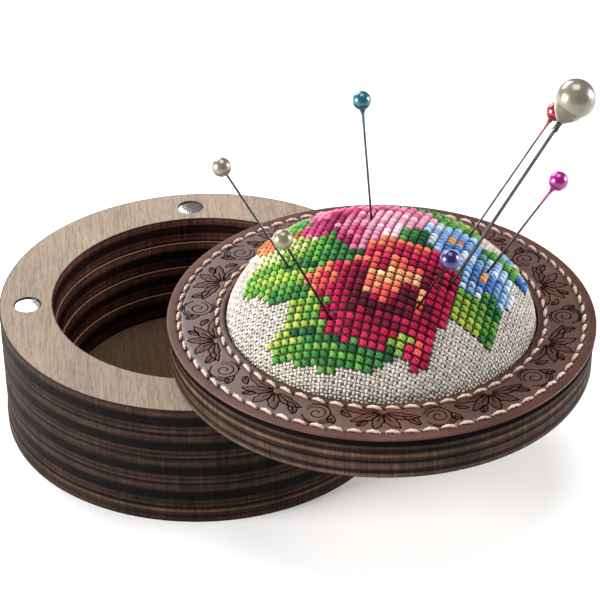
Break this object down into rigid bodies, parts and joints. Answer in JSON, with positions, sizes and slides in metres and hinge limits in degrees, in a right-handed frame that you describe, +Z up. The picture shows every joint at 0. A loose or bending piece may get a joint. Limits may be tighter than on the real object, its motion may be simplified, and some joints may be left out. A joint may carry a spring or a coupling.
{
  "type": "pin cushion box",
  "caption": "Round plywood notions box whose magnet-held swivelling lid carries a domed cross-stitched pin cushion in a tooled, stitched leather ring, with pins standing in it.",
  "frame": {"origin": "centre of the box's flat underside", "axes": "+Z up through the box's axis; -Y towards the magnet that the lid is swung about; the lid is stored swung open towards +X, turned clockwise as seen from above"},
  "size_m": [0.1275, 0.1175, 0.1024],
  "materials": {
    "burnt_plywood": "laser-cut birch plywood, charred edge, grey-brown stained veneer",
    "magnet_metal": "nickel plated, scuffed",
    "tooled_leather": "waxed vegetable-tanned, tooled scrolls",
    "waxed_thread": "waxed two-ply thread",
    "pale_board": "raw plywood",
    "wadding": "polyester wadding",
    "evenweave_linen": "evenweave cloth with cross-stitched flowers",
    "cotton_thread": "cotton thread",
    "pin_steel": "polished nickel-plated steel wire",
    "pearl_white": "pearl lustre",
    "pearl_cream": "pearl lustre",
    "bead_teal": "pearl lustre",
    "bead_red": "pearl lustre",
    "bead_magenta": "pearl lustre",
    "bead_violet": "pearl lustre"
  },
  "bodies": {
    "box": {"base_board": "burnt_plywood", "base_ring_1": "burnt_plywood", "base_ring_2": "burnt_plywood", "base_ring_3": "burnt_plywood", "base_ring_4": "burnt_plywood", "base_magnet_front": "magnet_metal", "base_magnet_right": "magnet_metal", "base_magnet_back": "magnet_metal", "base_magnet_left": "magnet_metal"},
    "swivel_magnet": {"lid_magnet_front": "magnet_metal"},
    "lid": {"lid_board": "burnt_plywood", "lid_ring": "burnt_plywood", "leather_ring": "tooled_leather", "outer_stitching": "waxed_thread", "inner_stitching": "waxed_thread", "lid_magnet_right": "magnet_metal", "lid_magnet_back": "magnet_metal", "lid_magnet_left": "magnet_metal", "cushion_board": "pale_board", "cushion_filling": "wadding", "cushion_cover": "evenweave_linen", "gathering_thread": "cotton_thread"},
    "white_pearl_pin": {"white_pearl_pin_shaft": "pin_steel", "white_pearl_pin_head": "pearl_white"},
    "cream_pearl_pin": {"cream_pearl_pin_shaft": "pin_steel", "cream_pearl_pin_head": "pearl_cream"},
    "teal_pin": {"teal_pin_shaft": "pin_steel", "teal_pin_head": "bead_teal"},
    "red_pin": {"red_pin_shaft": "pin_steel", "red_pin_head": "bead_red"},
    "drop_pearl_pin": {"drop_pearl_pin_shaft": "pin_steel", "drop_pearl_pin_head": "pearl_white", "drop_pearl_pin_collar": "pin_steel"},
    "magenta_pin": {"magenta_pin_shaft": "pin_steel", "magenta_pin_head": "bead_magenta"},
    "violet_pin": {"violet_pin_shaft": "pin_steel", "violet_pin_head": "bead_violet"}
  },
  "joints": [
    {"name": "lid_lift", "type": "slide", "parent": "box", "child": "swivel_magnet", "axis": [0, 0, 1], "range_m": [0, 0.06]},
    {"name": "lid_swing", "type": "hinge", "parent": "swivel_magnet", "child": "lid", "pos_m": [0, -0.03865, 0.02905], "axis": [0, 0, 1], "range_deg": [-20, 72.25]},
    {"name": "white_pearl_pin_slide", "type": "slide", "parent": "lid", "child": "white_pearl_pin", "axis": [-0.4945, 0.121, 0.8607], "range_m": [-0.0075, 0.013]},
    {"name": "cream_pearl_pin_slide", "type": "slide", "parent": "lid", "child": "cream_pearl_pin", "axis": [-0.3737, -0.2842, 0.8829], "range_m": [-0.0055, 0.012]},
    {"name": "teal_pin_slide", "type": "slide", "parent": "lid", "child": "teal_pin", "axis": [-0.0645, 0.1796, 0.9816], "range_m": [-0.0085, 0.014]},
    {"name": "red_pin_slide", "type": "slide", "parent": "lid", "child": "red_pin", "axis": [0.5251, 0.0436, 0.8499], "range_m": [-0.012, 0.009]},
    {"name": "drop_pearl_pin_slide", "type": "slide", "parent": "lid", "child": "drop_pearl_pin", "axis": [0.4344, -0.1266, 0.8918], "range_m": [-0.0095, 0.011]},
    {"name": "magenta_pin_slide", "type": "slide", "parent": "lid", "child": "magenta_pin", "axis": [0.4788, -0.1441, 0.866], "range_m": [-0.007, 0.012]},
    {"name": "violet_pin_slide", "type": "slide", "parent": "lid", "child": "violet_pin", "axis": [0.1424, -0.5819, 0.8007], "range_m": [-0.0075, 0.014]}
  ]
}
